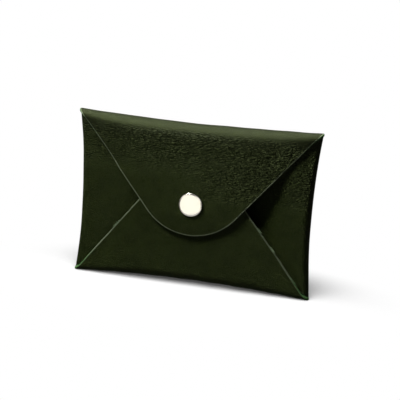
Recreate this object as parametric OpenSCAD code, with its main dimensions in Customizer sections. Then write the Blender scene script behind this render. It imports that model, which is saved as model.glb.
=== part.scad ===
// Envelope card holder: one leather blank whose four flaps fold over a back
// panel, closed by a four-piece press snap. All lengths are millimetres.
//
// Frame: the holder stands on its bottom fold. +X is the wearer's right when
// the front is seen, +Z is up and the front faces -Y. The origin is the
// centre of the footprint, on the surface that the bottom fold stands on.

/* [Holder] */
// Width over the two side folds
body_w = 102; // [92:1:130]
// Height from the bottom fold to the top fold
body_h = 70; // [62:1:90]
// Thickness of the leather
leather_t = 1.2; // [0.9:0.1:1.6]
// Free depth of the card pocket
pocket_d = 4.8; // [4.6:0.1:8]

/* [Flaps] */
// Setback of every flap's shoulder from the end of its fold
shoulder = 6.5; // [5:0.5:9]
// Radius of the top and bottom flaps' rounded tips
tongue_r = 24; // [16:0.5:25]
// How far the top flap hangs below the snap
top_drop = 13.5; // [10:0.5:15]
// How far the bottom flap rises above the snap
bottom_rise = 12.5; // [10:0.5:15]
// Radius of a side flap's tip round the snap
side_tip_r = 8; // [6:0.5:10]
// How far a side flap's tip reaches past the snap
side_past = 6; // [5:0.5:8]
// How far below the top fold the side flaps begin
side_drop = 0; // [0:0.5:4]

/* [Top fold] */
// Part of the fold that stays with the back panel, and with the flap, in degrees
lip_angle = 30; // [20:1:40]
// How much narrower the fold is on the flap's side, at each end
fold_taper = 5; // [3:0.5:7]

/* [Snap] */
// Height of the snap above the holder's middle
snap_rise = 1.5; // [0:0.5:4]
// Room for the closed snap between the bottom flap and the top flap
snap_gap = 2.2; // [2.2:0.1:3]
// Diameter of the cap
cap_d = 10; // [9:0.5:12.5]
// Height of the cap above the leather
cap_h = 1.6; // [1.4:0.1:2.4]
// Diameter of the rivet posts that pass through the leather
post_d = 2.6; // [2.4:0.1:3]
// Diameter of the socket
socket_d = 8.2; // [7.8:0.1:10]
// Diameter of the stud's bulb
bulb_d = 4; // [3.8:0.1:4.4]
// Diameter of the wire of the socket's spring
wire_d = 0.4; // [0.3:0.05:0.4]

/* [Hidden] */

$fn = 96;
// Straight steps in the outline of a round tip
tip_steps = 36;
leather = "darkolivegreen";
nickel = "silver";

// Fold radii: each front layer lies on the one before it
right_r = (pocket_d + 2 * leather_t) / 2;
left_r = (pocket_d + 3 * leather_t) / 2;
bottom_r = (pocket_d + 4 * leather_t) / 2;
top_r = (pocket_d + 5 * leather_t + snap_gap) / 2;

// Depths of the outer faces, from the back (+Y) to the front (-Y)
back_y = (2 * top_r + cap_h) / 2;
right_y = back_y - 2 * right_r;
left_y = back_y - 2 * left_r;
bottom_y = back_y - 2 * bottom_r;
top_y = back_y - 2 * top_r;

// Ends of the flat parts
left_x = -body_w / 2 + left_r;
right_x = body_w / 2 - right_r;
bottom_z = bottom_r;
top_z = body_h - top_r;
fold_y = back_y - top_r;
snap_z = body_h / 2 + snap_rise;

// Half widths at the shoulders, and along the top fold
tongue_half = body_w / 2 - shoulder;
side_half = top_z - side_drop - snap_z;
fold_half = tongue_half + fold_taper;
strip_angle = (180 - 2 * lip_angle) / 3;
function half_at(angle) = fold_half - fold_taper * angle / 180;

// Snap stack, measured from the bottom flap's face towards the front
flange_h = 0.35;
snap_play = 0.1;
post_r = post_d / 2;
post_play = 0.05;
bulb_r = bulb_d / 2;
neck_r = bulb_r - 0.3;
mouth_r = bulb_r + 0.3;
groove_r = mouth_r + 0.25;
socket_low = flange_h + snap_play;
lip_h = 0.15;
groove_h = wire_d + 0.06;
groove_low = socket_low + lip_h;
groove_high = groove_low + groove_h;
plate_h = 0.5;
plate_low = snap_gap - plate_h;
flare_h = 0.15;
flare_r = post_r + 0.6;
bulb_top = plate_low - flare_h - snap_play;
spring_open = 60;
spring_r = bulb_r - 0.05 + wire_d / 2;
cap_r = cap_d / 2;
rim_h = 0.45;
dome_h = cap_h - rim_h;
dome_r = (cap_r * cap_r + dome_h * dome_h) / (2 * dome_h);

// Angle, on a circle, of the point where the line from p touches its outer side
function touch_angle(p, centre, r) =
    let (to = centre - p)
    atan2(to[1], to[0]) - asin(r / norm(to)) - 90;

// Flap outline: straight edges from the shoulders run into a round tip
module tongue(half_base, reach, tip_r) {
    tip = [0, reach - tip_r];
    start = touch_angle([half_base, 0], tip, tip_r);
    step = (180 - 2 * start) / tip_steps;
    polygon([[-half_base, 0], [half_base, 0],
             for (i = [0 : tip_steps])
                 tip + tip_r * [cos(start + i * step), sin(start + i * step)]]);
}

// Stands an outline up in the XZ plane, one leather thick behind its face
module upright(face_y) {
    translate([0, face_y + leather_t, 0]) rotate([90, 0, 0])
        linear_extrude(leather_t) children();
}

// Band of leather bent about an axis along X, from one angle to another;
// angles start at +Y, on the back, and rise over the top
module bent_band(r, centre_y, centre_z, from, to, half_w) {
    translate([0, centre_y, centre_z]) rotate([90, 0, 90]) rotate([0, 0, from])
        rotate_extrude(angle = to - from)
            translate([r - leather_t, -half_w]) square([leather_t, 2 * half_w]);
}

// Band of leather bent about an upright axis, over half a turn to the left
module side_band(r, from_z, to_z) {
    translate([0, 0, from_z]) rotate([0, 0, 90]) rotate_extrude(angle = 180)
        translate([r - leather_t, 0]) square([leather_t, to_z - from_z]);
}

// Hole for a rivet post through the leather at the snap
module post_hole() {
    translate([0, back_y, snap_z]) rotate([90, 0, 0])
        cylinder(h = 2 * top_r, r = post_r + post_play);
}

// Puts a turned snap piece on the snap's axis, with its base on the bottom flap
module on_snap() {
    translate([0, bottom_y, snap_z]) rotate([90, 0, 0]) children();
}

// Back panel with the part of the top fold that never moves
module back_panel() {
    color(leather) {
        translate([left_x, back_y - leather_t, bottom_z])
            cube([right_x - left_x, leather_t, top_z - bottom_z]);
        bent_band(top_r, fold_y, top_z, 0, lip_angle, half_at(0));
    }
}

// Side flap on the left of the frame, drawn for a fold of radius r
module side_flap(r, fold_x, face_y) {
    translate([fold_x, back_y - r, 0])
        side_band(r, snap_z - side_half, snap_z + side_half);
    difference() {
        upright(face_y) translate([fold_x, snap_z]) rotate(-90)
            tongue(side_half, side_past - fold_x, side_tip_r);
        post_hole();
    }
}

// Left flap, which lies on the right flap at the snap
module left_flap() {
    color(leather) side_flap(left_r, left_x, left_y);
}

// Right flap, the innermost layer
module right_flap() {
    color(leather) mirror([1, 0, 0]) side_flap(right_r, -right_x, right_y);
}

// Bottom flap with the bottom fold
module bottom_flap() {
    color(leather) {
        bent_band(bottom_r, back_y - bottom_r, bottom_z, -180, 0, tongue_half);
        difference() {
            upright(bottom_y) translate([0, bottom_z])
                tongue(tongue_half, snap_z + bottom_rise - bottom_z, tongue_r);
            post_hole();
        }
    }
}

// One moving strip of the top fold, counted from the back
module fold_strip(index) {
    from = lip_angle + index * strip_angle;
    color(leather)
        bent_band(top_r, fold_y, top_z, from, from + strip_angle,
                  half_at(from + strip_angle / 2));
}

module top_fold_rear() {
    fold_strip(0);
}

module top_fold_crown() {
    fold_strip(1);
}

module top_fold_front() {
    fold_strip(2);
}

// Top flap with the last part of the top fold
module top_flap() {
    color(leather) {
        mirror([0, 1, 0])
            bent_band(top_r, -fold_y, top_z, 0, lip_angle, half_at(180));
        difference() {
            upright(top_y) translate([0, top_z]) rotate(180)
                tongue(tongue_half, top_z - snap_z + top_drop, tongue_r);
            post_hole();
        }
    }
}

// Domed cap with its rim, and the post that rivets it to the socket
module snap_cap() {
    face = snap_gap + leather_t;
    color(nickel) on_snap() {
        translate([0, 0, face]) cylinder(h = rim_h, r = cap_r);
        translate([0, 0, face + rim_h]) intersection() {
            translate([0, 0, dome_h - dome_r]) sphere(dome_r);
            cylinder(h = dome_h, r = cap_r);
        }
        translate([0, 0, plate_low]) cylinder(h = face - plate_low, r = post_r);
        translate([0, 0, plate_low - flare_h]) cylinder(h = flare_h, r = flare_r);
    }
}

// Socket: a cup that opens towards the stud, grooved for its spring
module snap_socket() {
    color(nickel) on_snap() difference() {
        translate([0, 0, socket_low])
            cylinder(h = snap_gap - socket_low, r = socket_d / 2);
        cylinder(h = plate_low, r = mouth_r);
        translate([0, 0, groove_low]) cylinder(h = groove_h, r = groove_r);
        cylinder(h = snap_gap, r = post_r);
    }
}

// Open ring of spring wire that closes under the stud's bulb
module socket_spring() {
    color(nickel) on_snap() translate([0, 0, (groove_low + groove_high) / 2])
        rotate([0, 0, spring_open / 2]) rotate_extrude(angle = 360 - spring_open)
            translate([spring_r, 0]) circle(wire_d / 2);
}

// Stud with its flange, its neck and the bulb that the spring grips
module snap_stud() {
    color(nickel) on_snap() difference() {
        union() {
            cylinder(h = flange_h, r = socket_d / 2 - snap_play);
            cylinder(h = bulb_top, r = neck_r);
            translate([0, 0, groove_high]) cylinder(h = bulb_top - groove_high, r = bulb_r);
        }
        cylinder(h = bulb_top - flare_h, r = post_r);
    }
}

// Rivet that holds the stud to the three layers behind it
module stud_post() {
    behind = 3 * leather_t;
    color(nickel) on_snap() {
        translate([0, 0, -behind]) cylinder(h = behind + bulb_top - flare_h, r = post_r);
        translate([0, 0, -behind - flange_h]) cylinder(h = flange_h, r = socket_d / 2 - snap_play);
    }
}

back_panel();
left_flap();
right_flap();
bottom_flap();
top_fold_rear();
top_fold_crown();
top_fold_front();
top_flap();
snap_cap();
snap_socket();
socket_spring();
snap_stud();
stud_post();
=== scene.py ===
"""Looks of an envelope card holder: one folded leather blank and its press snap.

Lengths are in millimetres while a shape is worked out, in the row frame: +X is
the wearer's right, +Z is up, the front faces -Y and the holder stands on z = 0.
They become metres when a mesh is made.
"""

import logging
import math
from dataclasses import dataclass, field
from enum import Enum

import bmesh
import bpy
import numpy as np
from mathutils import Matrix, Vector

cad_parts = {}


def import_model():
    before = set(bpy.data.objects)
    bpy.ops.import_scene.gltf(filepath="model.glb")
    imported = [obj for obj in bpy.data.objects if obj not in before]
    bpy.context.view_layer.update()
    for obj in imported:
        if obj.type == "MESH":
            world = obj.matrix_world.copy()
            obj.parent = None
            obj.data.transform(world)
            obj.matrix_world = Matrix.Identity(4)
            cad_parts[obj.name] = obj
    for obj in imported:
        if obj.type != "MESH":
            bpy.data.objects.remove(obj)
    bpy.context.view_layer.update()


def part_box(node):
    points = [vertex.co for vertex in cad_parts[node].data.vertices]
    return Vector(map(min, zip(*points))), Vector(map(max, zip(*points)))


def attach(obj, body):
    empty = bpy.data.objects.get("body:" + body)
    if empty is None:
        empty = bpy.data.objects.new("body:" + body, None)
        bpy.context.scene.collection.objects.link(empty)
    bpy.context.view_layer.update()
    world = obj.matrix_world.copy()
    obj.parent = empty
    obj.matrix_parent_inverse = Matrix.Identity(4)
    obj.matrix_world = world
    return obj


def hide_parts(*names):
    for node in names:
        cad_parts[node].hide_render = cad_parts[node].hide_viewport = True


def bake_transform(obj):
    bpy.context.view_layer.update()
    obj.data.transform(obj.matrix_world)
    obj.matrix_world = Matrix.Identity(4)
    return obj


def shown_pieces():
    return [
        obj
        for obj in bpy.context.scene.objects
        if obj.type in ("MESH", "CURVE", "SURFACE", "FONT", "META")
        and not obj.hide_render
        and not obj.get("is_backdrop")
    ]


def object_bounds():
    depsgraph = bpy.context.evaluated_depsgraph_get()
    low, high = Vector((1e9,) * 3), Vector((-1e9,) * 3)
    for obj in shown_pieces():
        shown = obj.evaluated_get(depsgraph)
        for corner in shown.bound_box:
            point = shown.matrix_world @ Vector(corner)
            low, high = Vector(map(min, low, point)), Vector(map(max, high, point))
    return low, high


LOG = logging.getLogger("holder")
MM = 0.001
LEATHER_MM = 1.2
MERGE_M = 2e-6
POLE_SHARE = 0.2
Array = np.ndarray
Obj = bpy.types.Object
Socket = bpy.types.NodeSocket
Pair = tuple[float, float]
Triple = tuple[float, float, float]
Rows = tuple[Array, Array]
Profile = list[Pair]


class Face(Enum):
    """Which finish a part of a leather sheet takes; the value is its material slot."""

    GRAIN = 0
    EDGE = 1
    FLESH = 2


class Side(Enum):
    """The four sides of the back panel that a flap folds over from."""

    TOP = "top"
    BOTTOM = "bottom"
    RIGHT = "right"
    LEFT = "left"


def smooth(t: Array | float) -> Array:
    """Smooth step: 3t^2 - 2t^3, with t held between 0 and 1."""
    t = np.clip(t, 0.0, 1.0)
    return t * t * (3.0 - 2.0 * t)


def between(a: Array | float, b: Array | float, share: Array | float) -> Array:
    """The value a share of the way from a to b: a + (b - a) share."""
    return a + (b - a) * share


def soft_min(a: Array, b: Array, width: float) -> Array:
    """The smaller of a and b, rounded off where they are within width of each other."""
    gap = np.clip(0.5 + 0.5 * (b - a) / width, 0.0, 1.0)
    return b * (1.0 - gap) + a * gap - width * gap * (1.0 - gap)


def bell(distance: Array, width: float) -> Array:
    """A rounded bump of height 1: exp(-(distance / width)^2)."""
    return np.exp(-((distance / width) ** 2))


def unit(v: Array) -> Array:
    """Vectors scaled to length 1 along the last axis."""
    return v / np.maximum(np.linalg.norm(v, axis=-1, keepdims=True), 1e-12)


def box_mm(node: str) -> tuple[Array, Array]:
    """The low and high corners of a CAD node's box, in millimetres."""
    low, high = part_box(node)
    return np.array(low) / MM, np.array(high) / MM


def loop_quads(numbers: Array) -> Array:
    """Quads between the rows of a grid of point numbers, each row a closed loop.

    Args:
        numbers: Point numbers, rows by points round a loop.

    Returns:
        Four point numbers for each quad.
    """
    after = np.roll(numbers, -1, axis=1)
    quads = np.stack([numbers[:-1], after[:-1], after[1:], numbers[1:]], axis=-1)
    return quads.reshape(-1, 4)


def new_mesh(name: str, points: Array, faces: list[list[int]]) -> bpy.types.Mesh:
    """A mesh from points in millimetres and the point numbers of its faces.

    Args:
        name: Name of the mesh.
        points: Points in millimetres.
        faces: Point numbers of each face.

    Returns:
        The mesh, in metres.
    """
    mesh = bpy.data.meshes.new(name)
    mesh.from_pydata((points.reshape(-1, 3) * MM).tolist(), [], faces)
    return mesh


def new_object(name: str, data: bpy.types.ID) -> Obj:
    """An object in the scene that shows a mesh, a light or a camera.

    Args:
        name: Name of the object.
        data: What it shows.

    Returns:
        The object, linked to the scene.
    """
    obj = bpy.data.objects.new(name, data)
    bpy.context.scene.collection.objects.link(obj)
    return obj


def sample_rows(grid: Array, rows: Array) -> Array:
    """Reads a grid at fractional rows, column by column.

    Args:
        grid: Points or values, rows by columns, with any further axes.
        rows: Fractional row numbers, wanted rows by columns.

    Returns:
        The grid's straight-line value between the two rows around each number.
    """
    low = np.clip(np.floor(rows).astype(int), 0, grid.shape[0] - 2)
    share = rows - low
    extra = grid.ndim - 2
    index = low.reshape(low.shape + (1,) * extra)
    share = share.reshape(share.shape + (1,) * extra)
    a = np.take_along_axis(grid, index, axis=0)
    b = np.take_along_axis(grid, index + 1, axis=0)
    return between(a, b, share)


def grid_normals(points: Array) -> Array:
    """Unit normals of a point grid: the cross product of its two slopes.

    Args:
        points: Rows by columns by 3.

    Returns:
        Normals of the same shape. Where the last row closes up to a pole, which shows
        as a product under POLE_SHARE of the one before, they are the mean of that row's.
    """
    down = np.gradient(points, axis=0)
    across = np.gradient(points, axis=1)
    normal = np.cross(down, across)
    length = np.linalg.norm(normal, axis=-1)
    pole = length[-1].max() < POLE_SHARE * max(length[-2].max(), 1e-9)
    normal = unit(normal)
    if pole:
        normal[-1] = unit(normal[-2].mean(axis=0, keepdims=True))
    return normal


@dataclass(frozen=True)
class FoldEdge:
    """One fold of the pillow-shaped holder, from its middle (0) to its end (1).

    The crest is where the fold reaches furthest out. It gives way by pull in
    the middle, and the fold is rounder there than at the pinched corners.
    """

    reach: float
    pull: float
    power: float
    radius_mid: float
    radius_end: float
    back_mid: float
    back_end: float

    def share(self, s: Array) -> Array:
        """How far the fold has turned from its middle's shape into its end's: |s|^3."""
        return np.abs(s) ** 3

    def radius(self, s: Array) -> Array:
        """Outer radius of the fold."""
        return between(self.radius_mid, self.radius_end, self.share(s))

    def back(self, s: Array) -> Array:
        """Depth of the back face where the fold begins."""
        return between(self.back_mid, self.back_end, self.share(s))

    def crest(self, s: Array) -> Array:
        """How far out the crest lies: reach - pull (1 - |s|^power)."""
        return self.reach - self.pull * (1.0 - np.abs(s) ** self.power)

    def centre(self, s: Array) -> Array:
        """How far out the centre of the fold's round lies."""
        return self.crest(s) - self.radius(s)

    def front(self, s: Array) -> Array:
        """Depth of the front face where the fold ends."""
        return self.back(s) - 2.0 * self.radius(s)


@dataclass(frozen=True)
class Tongue:
    """A flap's outline: straight edges from the fold that run into a round tip.

    Runs are measured from the fold's end towards the tip.
    """

    base: float
    length: float
    radius: float

    @property
    def slope(self) -> float:
        """Angle between the fold and a straight edge, which touches the tip's circle.

        Returns:
            The angle, in radians.
        """
        centre = self.length - self.radius
        far = math.hypot(self.base, centre)
        return math.atan2(centre, self.base) + math.asin(self.radius / far)

    @property
    def tangent_run(self) -> float:
        """Run at which the straight edges meet the round tip."""
        return self.length - self.radius + self.radius * math.cos(self.slope)

    def half_width(self, run: Array) -> Array:
        """Half the flap's width at a run: a straight line, then the tip's circle.

        Args:
            run: Distances from the flap's fold.

        Returns:
            The half width at each run.
        """
        straight = self.base - run / math.tan(self.slope)
        from_centre = run - (self.length - self.radius)
        circle = np.sqrt(np.maximum(self.radius**2 - from_centre**2, 0.0))
        return np.where(run < self.tangent_run, straight, circle)

    def inset(self, along: Array, run: Array) -> Array:
        """Distance from a point inside the outline to the outline.

        Args:
            along: Distances from the flap's middle line.
            run: Distances from the flap's fold.

        Returns:
            The distance at each point.
        """
        straight = (self.half_width(run) - np.abs(along)) * math.sin(self.slope)
        circle = self.radius - np.hypot(along, run - (self.length - self.radius))
        return np.where(run < self.tangent_run, straight, circle)


@dataclass(frozen=True)
class Ripple:
    """Slow unevenness of hand-cut leather: a sum of sine waves in seeded directions."""

    seed: int
    height: float = 0.07
    waves: int = 7
    shortest: float = 9.0
    longest: float = 30.0

    def at(self, x: Array, z: Array) -> Array:
        """Height of the unevenness at points of the sheet.

        Args:
            x: Distances to the wearer's right.
            z: Heights.

        Returns:
            The height at each point.
        """
        draw = np.random.default_rng(self.seed)
        turn = draw.uniform(0.0, math.pi, self.waves)
        length = draw.uniform(self.shortest, self.longest, self.waves)
        phase = draw.uniform(0.0, 2.0 * math.pi, self.waves)
        across = x[..., None] * np.cos(turn) + z[..., None] * np.sin(turn)
        waves = np.sin(2.0 * math.pi * across / length + phase)
        return self.height * waves.mean(axis=-1) * math.sqrt(self.waves)


@dataclass(frozen=True)
class SheetShape:
    """A sheet of leather before it is a mesh: matching outer and inner point grids.

    mid is the direction in which the cut edge at each end of a row bulges, and
    wear is 1 on the outline and falls to 0 a little way in.
    """

    outer: Array
    inner: Array
    mid: Array
    wear: Array
    bulge: float
    open_end: bool = True


def sheet_mesh(name: str, shape: SheetShape, steps: int = 6) -> Obj:
    """Makes a closed mesh of a sheet.

    Every row of the mesh is a loop: along the outer face, round one cut edge,
    back along the inner face and round the other cut edge. An edge point at a
    share t of the way round is p + (q - p)(1 - cos pi t)/2 + bulge m sin pi t.

    Args:
        name: Name of the piece.
        shape: The sheet, in millimetres.
        steps: Steps round a cut edge.

    Returns:
        The new object, at the origin, with each face's material index set from Face.
    """
    rows, columns = shape.outer.shape[:2]
    t = np.linspace(0.0, 1.0, steps + 1)[1:-1]
    along = ((1.0 - np.cos(math.pi * t)) / 2.0)[None, :, None]
    bow = (shape.bulge * np.sin(math.pi * t))[None, :, None]

    def rim(p: Array, q: Array, m: Array) -> Array:
        """Points of a rounded cut edge, from p round to q."""
        return between(p[:, None], q[:, None], along) + m[:, None] * bow

    right = rim(shape.outer[:, -1], shape.inner[:, -1], shape.mid[:, 1])
    left = rim(shape.inner[:, 0], shape.outer[:, 0], shape.mid[:, 0])
    loops = np.concatenate([shape.outer, right, shape.inner[:, ::-1], left], axis=1)
    count = loops.shape[1]
    side = steps - 1
    numbers = np.arange(rows * count).reshape(rows, count)
    kind = np.full(count, Face.EDGE.value)
    kind[: columns - 1] = Face.GRAIN.value
    kind[columns + side : 2 * columns + side - 1] = Face.FLESH.value
    kinds = np.tile(kind, rows - 1)
    ends = []
    for row in (0, rows - 1) if shape.open_end else (0,):
        front = numbers[row, :columns]
        behind = numbers[row, columns + side : 2 * columns + side][::-1]
        strip = np.stack([front[:-1], front[1:], behind[1:], behind[:-1]], axis=-1)
        ends += strip.tolist()
        ends.append(numbers[row, columns - 1 : columns + side + 1].tolist())
        last = numbers[row, 2 * columns + side - 1 :].tolist()
        ends.append(last + [int(numbers[row, 0])])
    kinds = np.concatenate([kinds, np.full(len(ends), Face.EDGE.value)])
    wear = np.zeros((rows, count))
    wear[:, :columns] = shape.wear
    wear[:, columns : columns + side] = 1.0
    wear[:, 2 * columns + side :] = 1.0

    mesh = new_mesh(name, loops, loop_quads(numbers).tolist() + ends)
    mesh.polygons.foreach_set("material_index", kinds.astype(np.int32))
    attribute = mesh.attributes.new("wear", "FLOAT", "POINT")
    attribute.data.foreach_set("value", wear.astype(np.float32).ravel())
    return finish_mesh(name, mesh)


def finish_mesh(name: str, mesh: bpy.types.Mesh, sharp: float = 50.0) -> Obj:
    """Merges a mesh's poles, turns its faces outwards, shades it and links it.

    Args:
        name: Name of the piece.
        mesh: The mesh, in metres.
        sharp: Angle between faces, in degrees, past which an edge stays crisp.

    Returns:
        The new object.
    """
    work = bmesh.new()
    work.from_mesh(mesh)
    bmesh.ops.remove_doubles(work, verts=work.verts, dist=MERGE_M)
    bmesh.ops.recalc_face_normals(work, faces=work.faces)
    work.to_mesh(mesh)
    work.free()
    mesh.polygons.foreach_set("use_smooth", np.ones(len(mesh.polygons), dtype=bool))
    mesh.set_sharp_from_angle(angle=math.radians(sharp))
    mesh.update()
    LOG.info("made %s", name)
    return new_object(name, mesh)


class Shader:
    """Short ways to add nodes to a material's tree."""

    def __init__(self, name: str) -> None:
        """Starts an empty material with an output and a principled surface.

        Args:
            name: Name of the material.
        """
        self.material = bpy.data.materials.new(name)
        self.material.use_nodes = True
        self.tree = self.material.node_tree
        self.tree.nodes.clear()
        self.output = self.add("ShaderNodeOutputMaterial")
        self.surface = self.add("ShaderNodeBsdfPrincipled")
        self.link(self.surface.outputs["BSDF"], self.output.inputs["Surface"])

    def add(self, kind: str, **facts: object) -> bpy.types.Node:
        """Adds a node and sets its properties.

        Args:
            kind: The node's type.
            facts: Properties to set on it.

        Returns:
            The node.
        """
        node = self.tree.nodes.new(kind)
        for key, value in facts.items():
            setattr(node, key, value)
        return node

    def link(self, source: Socket, target: Socket) -> None:
        """Links two sockets."""
        self.tree.links.new(source, target)

    def feed(self, target: Socket, value: object) -> None:
        """Links a socket, or sets a plain value on it; a colour is made opaque.

        Args:
            target: The input.
            value: A socket or a plain value.
        """
        if isinstance(value, Socket):
            self.link(value, target)
            return
        colour = target.type == "RGBA" and len(value) == 3
        target.default_value = (*value, 1.0) if colour else value

    def result(
        self,
        kind: str,
        values: dict[int | str, object],
        output: int | str = 0,
        **facts: object,
    ) -> Socket:
        """Adds a node, feeds its inputs by name or number, and gives one output.

        Args:
            kind: The node's type.
            values: What its inputs take, by name or number.
            output: Name or number of the output.
            facts: Properties to set on it.

        Returns:
            The output.
        """
        node = self.add(kind, **facts)
        for key, value in values.items():
            self.feed(node.inputs[key], value)
        return node.outputs[output]

    def math(self, operation: str, *values: object) -> Socket:
        """A math node's result."""
        return self.result("ShaderNodeMath", dict(enumerate(values)), operation=operation)

    def times(self, a: object, b: object) -> Socket:
        """The product of two values."""
        return self.math("MULTIPLY", a, b)

    def ramp(self, value: object, low: float, high: float) -> Socket:
        """A smooth rise from 0 at low to 1 at high, or a fall where low is above high.

        Args:
            value: What rises or falls.
            low: The value that gives 0.
            high: The value that gives 1.

        Returns:
            A number from 0 to 1.
        """
        first, last = (0.0, 1.0) if low < high else (1.0, 0.0)
        values = {
            "Value": value,
            "From Min": min(low, high),
            "From Max": max(low, high),
            "To Min": first,
            "To Max": last,
        }
        kind, smooth_step = "ShaderNodeMapRange", "SMOOTHSTEP"
        return self.result(kind, values, "Result", interpolation_type=smooth_step)

    def mix(self, share: object, a: object, b: object) -> Socket:
        """A colour between a and b."""
        values = {"Factor": share, 6: a, 7: b}
        return self.result("ShaderNodeMix", values, 2, data_type="RGBA")

    def object_mm(self, scale: Triple = (1.0, 1.0, 1.0)) -> Socket:
        """Object coordinates in millimetres, each times a scale.

        Args:
            scale: Factors on x, y and z.

        Returns:
            The coordinates.
        """
        place = self.result("ShaderNodeTexCoord", {}, "Object")
        values = {"Scale": tuple(s / MM for s in scale), "Vector": place}
        return self.result("ShaderNodeMapping", values)

    def parts(self, vector: Socket) -> tuple[Socket, ...]:
        """The x, y and z of a vector.

        Args:
            vector: The vector.

        Returns:
            Three numbers.
        """
        node = self.add("ShaderNodeSeparateXYZ")
        self.link(vector, node.inputs[0])
        return tuple(node.outputs)

    def noise(
        self, vector: Socket, scale: float, detail: float, rough: float = 0.5
    ) -> Socket:
        """A noise texture's value."""
        values = {"Vector": vector, "Scale": scale, "Detail": detail, "Roughness": rough}
        return self.result("ShaderNodeTexNoise", values, "Fac")

    def vector_math(self, operation: str, values: dict[int | str, object]) -> Socket:
        """A vector math node's result."""
        return self.result("ShaderNodeVectorMath", values, operation=operation)

    def warp(self, vector: Socket, scale: float, amount: float) -> Socket:
        """Coordinates pushed about by noise, so that cells look grown.

        Args:
            vector: The coordinates.
            scale: How fine the noise is.
            amount: How far it pushes.

        Returns:
            The pushed coordinates.
        """
        values = {"Vector": vector, "Scale": scale, "Detail": 2.0}
        cloud = self.result("ShaderNodeTexNoise", values, "Color")
        centred = self.vector_math("SUBTRACT", {0: cloud, 1: (0.5, 0.5, 0.5)})
        push = self.vector_math("SCALE", {0: centred, "Scale": amount})
        return self.vector_math("ADD", {0: vector, 1: push})

    def cells(self, vector: Socket, scale: float) -> Socket:
        """Distance to the nearest border in a pattern of cells.

        Args:
            vector: The coordinates.
            scale: How fine the cells are.

        Returns:
            The distance, 0 on a border.
        """
        kind, feature = "ShaderNodeTexVoronoi", "DISTANCE_TO_EDGE"
        values = {"Vector": vector, "Scale": scale}
        return self.result(kind, values, "Distance", feature=feature)

    def bump(self, height: object, depth: float) -> None:
        """Relief on the surface, depth metres from a height of 0 to 1."""
        values = {"Strength": 1.0, "Distance": depth, "Height": height}
        self.set(Normal=self.result("ShaderNodeBump", values))

    def attribute(self, name: str) -> Socket:
        """A number kept on the mesh's points."""
        return self.result("ShaderNodeAttribute", {}, "Fac", attribute_name=name)

    def set(self, **facts: object) -> None:
        """Feeds or sets the surface's sockets, named with _ for a space."""
        for key, value in facts.items():
            self.feed(self.surface.inputs[key.replace("_", " ")], value)


@dataclass(frozen=True)
class GrainFinish:
    """The dyed outer face: pebbled grain, creases near the folds and a soft gloss, with
    painted shade in the grooves and creases and a top fold crest lightened partly as wear
    and partly as painted highlight.
    """

    name: str = "bottle_green_grain"
    deep: Triple = (0.0076, 0.0118, 0.0016)
    tone: Triple = (0.0134, 0.0200, 0.0030)
    # Lighter colour for the top fold's crest: partly wear, partly painted highlight.
    rubbed_and_highlight: Triple = (0.017, 0.0195, 0.0105)
    # Painted shade: the dark colour that the creases are mixed towards.
    crease_shade: Triple = (0.0025, 0.0040, 0.0008)
    cut: Triple = (0.34, 0.39, 0.26)
    roughness: float = 0.47
    relief: float = 0.00055
    pebble_scale: float = 1.9
    pebble_rim: float = 0.34
    crease_scale: float = 1.4
    crease_rim: float = 0.32
    crease_depth: float = 3.8
    crease_top: Pair = (67.4, 62.8)
    crease_foot: Pair = (44.0, 60.0)
    # Heights over which the crest's wear and painted highlight fade in.
    crest_wear_and_highlight: Pair = (59.0, 66.0)

    def build(self) -> bpy.types.Material:
        """Makes the material.

        Returns:
            The material.
        """
        s = Shader(self.name)
        place = s.object_mm()
        x, y, z = s.parts(place)
        grown = s.warp(place, 0.9, 0.55)
        pebble = s.ramp(s.cells(grown, self.pebble_scale), 0.0, self.pebble_rim)
        fine = s.noise(place, 3.4, 3.0, 0.6)
        stretched = s.warp(s.object_mm((0.42, 0.8, 1.0)), 0.7, 0.9)
        crease = s.ramp(s.cells(stretched, self.crease_scale), 0.0, self.crease_rim)
        patch = s.noise(place, 0.10, 2.0)
        to_right = s.times(s.ramp(x, -6.0, 20.0), s.ramp(z, 36.0, 46.0))
        area = s.math("MAXIMUM", s.ramp(z, *self.crease_foot), to_right)
        front = s.times(s.ramp(y, 1.0, -1.0), s.ramp(z, *self.crease_top))
        area = s.times(front, area)
        area = s.times(area, s.ramp(patch, 0.22, 0.48))
        creased = s.times(s.math("SUBTRACT", crease, 1.0), area)
        height = s.math("MULTIPLY_ADD", pebble, 0.42, s.times(fine, 0.35))
        height = s.math("MULTIPLY_ADD", creased, self.crease_depth, height)
        crest = s.ramp(z, *self.crest_wear_and_highlight)
        height = s.times(height, s.math("MULTIPLY_ADD", crest, -0.6, 1.0))
        s.bump(height, self.relief)
        blotch = s.noise(place, 0.16, 4.0, 0.55)
        base = s.mix(s.ramp(blotch, 0.32, 0.68), self.deep, self.tone)
        # Painted shade in the grooves between pebbles: the cell borders darken towards the
        # deep tone.
        low = s.times(s.math("SUBTRACT", 1.0, pebble), 0.35)
        base = s.mix(low, base, self.deep)
        # Painted shade in the creases: they darken towards the crease colour.
        base = s.mix(s.times(creased, -0.6), base, self.crease_shade)
        # Painted highlight mixed with wear: the top fold's crest is lightened towards the
        # rubbed colour.
        rubbed_and_highlight = s.times(crest, s.math("MULTIPLY_ADD", fine, 0.35, 0.5))
        base = s.mix(rubbed_and_highlight, base, self.rubbed_and_highlight)
        worn = s.times(s.attribute("wear"), s.ramp(fine, 0.25, 0.55))
        base = s.mix(s.times(worn, 0.9), base, self.cut)
        gloss = s.math("MULTIPLY_ADD", fine, 0.16, self.roughness - 0.08)
        s.set(Base_Color=base, Roughness=gloss, IOR=1.45, Specular_IOR_Level=0.40)
        s.set(Specular_Tint=(0.80, 1.0, 0.38))
        return s.material


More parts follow.
